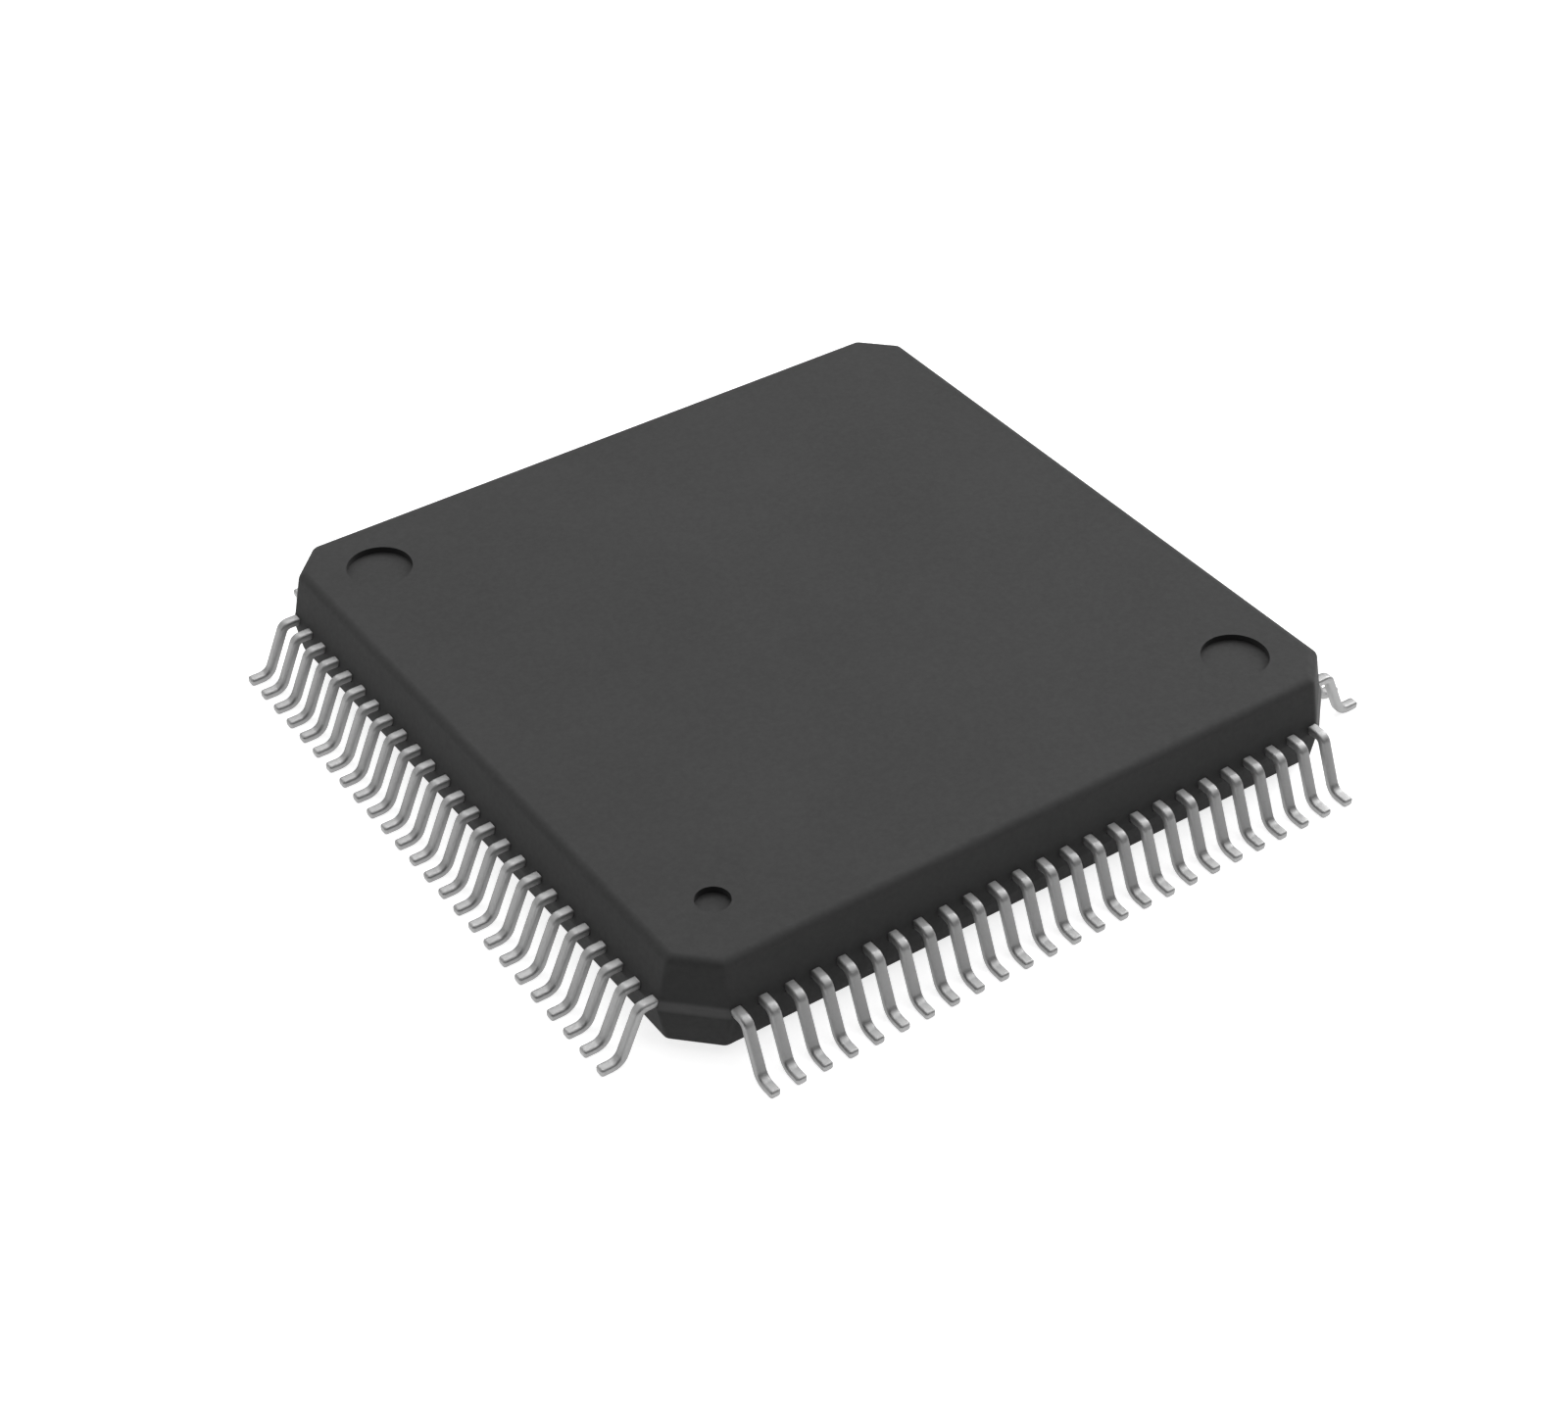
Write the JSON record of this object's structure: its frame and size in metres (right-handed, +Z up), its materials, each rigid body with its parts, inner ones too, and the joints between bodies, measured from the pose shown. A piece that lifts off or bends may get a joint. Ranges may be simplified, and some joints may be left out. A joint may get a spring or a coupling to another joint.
{
  "type": "quad flat pack chip",
  "caption": "Square moulded chip package with cut corners, a pin-1 dot, ejector marks and fine gull-wing leads on all four sides.",
  "frame": {"origin": "on the board surface, under the middle of the package, level with the undersides of the feet", "axes": "+Z up out of the top face, -Y towards the front side, -X towards the left side; the pin-1 dot is at the -X -Y corner"},
  "size_m": [0.016, 0.016, 0.0019],
  "materials": {
    "moulding_compound": "black silica-filled epoxy moulding compound, fine matt spark-eroded texture",
    "tinned_leads": "matt electroplated tin over copper alloy",
    "copper_alloy": "bare rolled copper alloy sheet",
    "die_adhesive": "cured silver-filled epoxy",
    "silicon": "passivated silicon",
    "gold_wire": "bright drawn gold"
  },
  "bodies": {
    "root": {"mould_body": "moulding_compound", "leads_front": "tinned_leads", "leads_right": "tinned_leads", "leads_rear": "tinned_leads", "leads_left": "tinned_leads", "die_pad": "copper_alloy", "die_attach": "die_adhesive", "die": "silicon", "bond_wires_front": "gold_wire", "bond_wires_right": "gold_wire", "bond_wires_rear": "gold_wire", "bond_wires_left": "gold_wire"}
  },
  "joints": []
}
